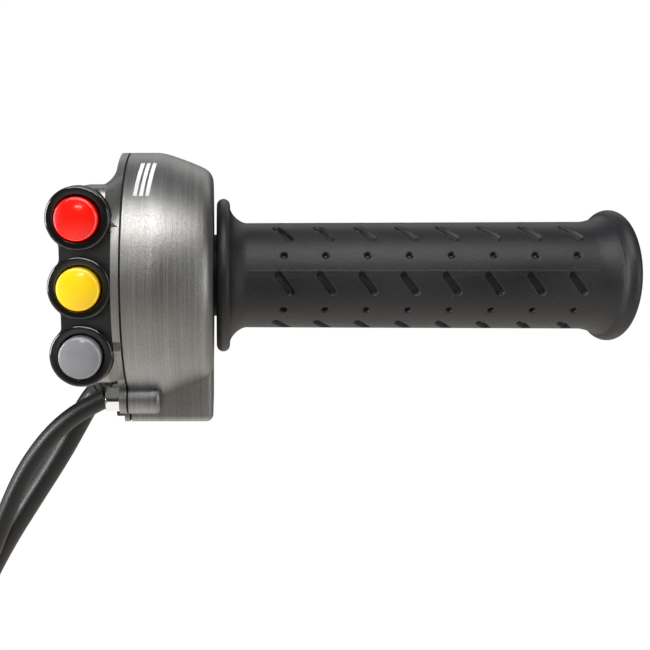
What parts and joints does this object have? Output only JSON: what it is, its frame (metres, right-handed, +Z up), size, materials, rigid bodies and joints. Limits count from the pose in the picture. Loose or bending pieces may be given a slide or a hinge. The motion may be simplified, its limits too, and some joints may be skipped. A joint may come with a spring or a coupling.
{
  "type": "throttle grip",
  "caption": "Motorcycle twist grip: rubber grip on a turning tube, round cable-drum housing with a push-button pod, pull cable and switch lead.",
  "frame": {"origin": "on the handlebar's axis, in the housing's clamp, 6 mm inboard of the cover", "axes": "+X along the bar to its outboard end, -Y towards the rider, +Z up"},
  "size_m": [0.2786, 0.0826, 0.242],
  "materials": {
    "anodised": "graphite anodised, fine turning marks",
    "gasket": "matt black",
    "black_steel": "black oxide",
    "chrome": "bright plated",
    "steel": "bright",
    "bush": "white acetal",
    "tube": "black nylon",
    "grip": "fine grained",
    "panel": "satin",
    "bezel": "gloss",
    "red_cap": "gloss",
    "yellow_cap": "gloss",
    "grey_cap": "gloss",
    "switch": "moulded",
    "board": "solder mask",
    "sheath": "satin jacket",
    "brass": "bright",
    "wire_cover": "insulation",
    "connector": "natural nylon"
  },
  "bodies": {
    "root": {"housing_body": "anodised", "housing_cover": "anodised", "cover_gasket": "gasket", "cover_screws": "black_steel", "handlebar_clamp_cap": "anodised", "clamp_screws": "black_steel", "outboard_bush": "bush", "inboard_bush": "bush", "thrust_washer": "bush", "cable_elbow": "steel", "inner_wire": "steel", "cable_nut": "chrome", "switch_panel": "panel", "switch_board": "board", "switch_legs": "steel", "switch_wires": "wire_cover", "harness_grommet": "gasket", "throttle_cable": "sheath", "throttle_cable_coil": "sheath", "throttle_cable_tie": "gasket", "throttle_cable_tail": "sheath", "cable_end_ferrule": "steel", "cable_end_wire": "steel", "cable_end_nipple": "brass", "switch_harness": "sheath", "switch_harness_coil": "sheath", "switch_harness_tie": "gasket", "switch_harness_tail": "sheath", "harness_connector": "connector", "connector_pins": "brass", "red_button_bezel": "bezel", "red_switch": "switch", "red_button_spring": "steel", "yellow_button_bezel": "bezel", "yellow_switch": "switch", "yellow_button_spring": "steel", "grey_button_bezel": "bezel", "grey_switch": "switch", "grey_button_spring": "steel"},
    "throttle": {"throttle_tube": "tube", "cable_pulley": "tube", "pulley_screws": "black_steel", "cable_nipple": "brass", "wound_wire": "steel", "grip_rubber": "grip"},
    "red_button": {"red_button_cap": "red_cap", "red_button_plunger": "switch"},
    "yellow_button": {"yellow_button_cap": "yellow_cap", "yellow_button_plunger": "switch"},
    "grey_button": {"grey_button_cap": "grey_cap", "grey_button_plunger": "switch"}
  },
  "joints": [
    {"name": "throttle_twist", "type": "hinge", "parent": "root", "child": "throttle", "pos_m": [0.08, 0, 0], "axis": [1, 0, 0], "range_deg": [0, 65]},
    {"name": "red_press", "type": "slide", "parent": "root", "child": "red_button", "axis": [0, 1, 0], "range_m": [0, 0.0015], "stiffness_N_per_m": 400, "springref_m": -0.0015, "deforming": ["red_button_spring"]},
    {"name": "yellow_press", "type": "slide", "parent": "root", "child": "yellow_button", "axis": [0, 1, 0], "range_m": [0, 0.0015], "stiffness_N_per_m": 400, "springref_m": -0.0015, "deforming": ["yellow_button_spring"]},
    {"name": "grey_press", "type": "slide", "parent": "root", "child": "grey_button", "axis": [0, 1, 0], "range_m": [0, 0.0015], "stiffness_N_per_m": 400, "springref_m": -0.0015, "deforming": ["grey_button_spring"]}
  ]
}
